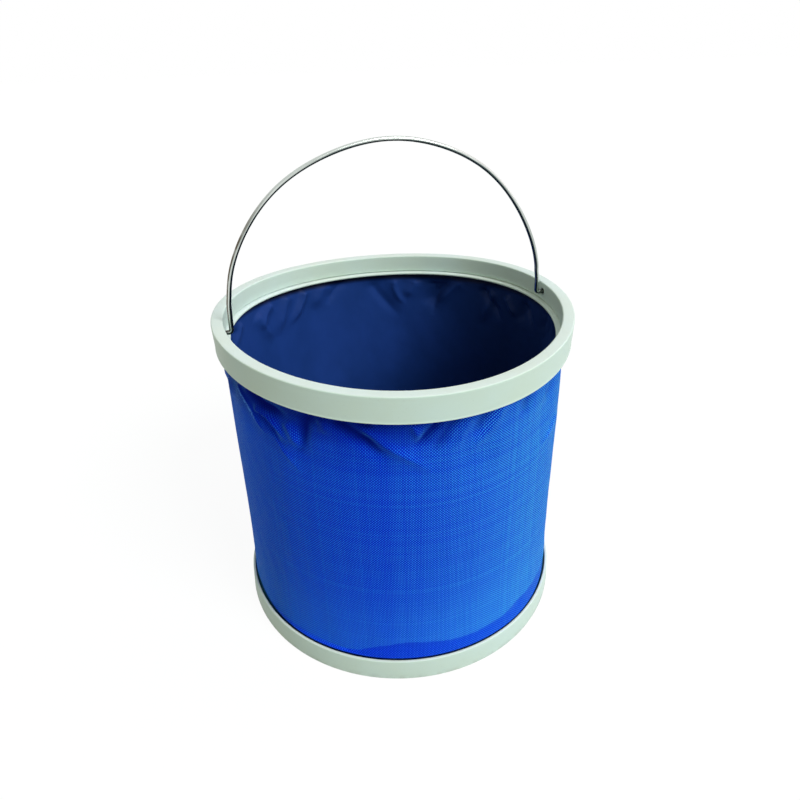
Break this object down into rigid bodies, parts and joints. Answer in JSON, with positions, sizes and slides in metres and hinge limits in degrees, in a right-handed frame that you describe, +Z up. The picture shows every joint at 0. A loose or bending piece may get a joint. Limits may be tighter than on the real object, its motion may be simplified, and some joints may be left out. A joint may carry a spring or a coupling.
{
  "type": "collapsible camp bucket",
  "caption": "Round folding camp bucket: moulded rim and foot joined by a blue coated cloth wall, with a wire bail that swings in the rim.",
  "frame": {"origin": "middle of the foot's underside, on the surface the bucket stands on", "axes": "+Z up along the bucket's middle line, +X along the line the bail turns about"},
  "size_m": [0.26, 0.26, 0.3532],
  "materials": {
    "grey_white_plastic": "satin injection moulding",
    "blue_coated_cloth": "fine woven, coated inside",
    "bright_steel_wire": "plated, bright"
  },
  "bodies": {
    "foot": {"base_ring": "grey_white_plastic", "base_clamp_ring": "grey_white_plastic", "floor_cloth": "blue_coated_cloth", "cloth_band_1": "blue_coated_cloth"},
    "cloth_2": {"cloth_band_2": "blue_coated_cloth"},
    "cloth_3": {"cloth_band_3": "blue_coated_cloth"},
    "cloth_4": {"cloth_band_4": "blue_coated_cloth"},
    "cloth_5": {"cloth_band_5": "blue_coated_cloth"},
    "cloth_6": {"cloth_band_6": "blue_coated_cloth"},
    "rim": {"top_rim": "grey_white_plastic", "rim_clamp_ring": "grey_white_plastic", "cloth_band_7": "blue_coated_cloth"},
    "bail": {"bail_wire": "bright_steel_wire"}
  },
  "joints": [
    {"name": "collapse", "type": "slide", "parent": "foot", "child": "rim", "axis": [0, 0, 1], "range_m": [-0.166, 0]},
    {"name": "cloth_2_fold", "type": "slide", "parent": "foot", "child": "cloth_2", "axis": [0, 0, 1], "range_m": [-0.0277, 0]},
    {"name": "cloth_3_fold", "type": "slide", "parent": "foot", "child": "cloth_3", "axis": [0, 0, 1], "range_m": [-0.0554, 0]},
    {"name": "cloth_4_fold", "type": "slide", "parent": "foot", "child": "cloth_4", "axis": [0, 0, 1], "range_m": [-0.0831, 0]},
    {"name": "cloth_5_fold", "type": "slide", "parent": "foot", "child": "cloth_5", "axis": [0, 0, 1], "range_m": [-0.1107, 0]},
    {"name": "cloth_6_fold", "type": "slide", "parent": "foot", "child": "cloth_6", "axis": [0, 0, 1], "range_m": [-0.1384, 0]},
    {"name": "bail_swing", "type": "hinge", "parent": "rim", "child": "bail", "pos_m": [0, 0, 0.2265], "axis": [1, 0, 0], "range_deg": [-77, 77]}
  ],
  "couplings": [
    {"joint": "cloth_2_fold", "follows": "collapse", "ratio": 0.16667},
    {"joint": "cloth_3_fold", "follows": "collapse", "ratio": 0.33333},
    {"joint": "cloth_4_fold", "follows": "collapse", "ratio": 0.5},
    {"joint": "cloth_5_fold", "follows": "collapse", "ratio": 0.66667},
    {"joint": "cloth_6_fold", "follows": "collapse", "ratio": 0.83333}
  ]
}
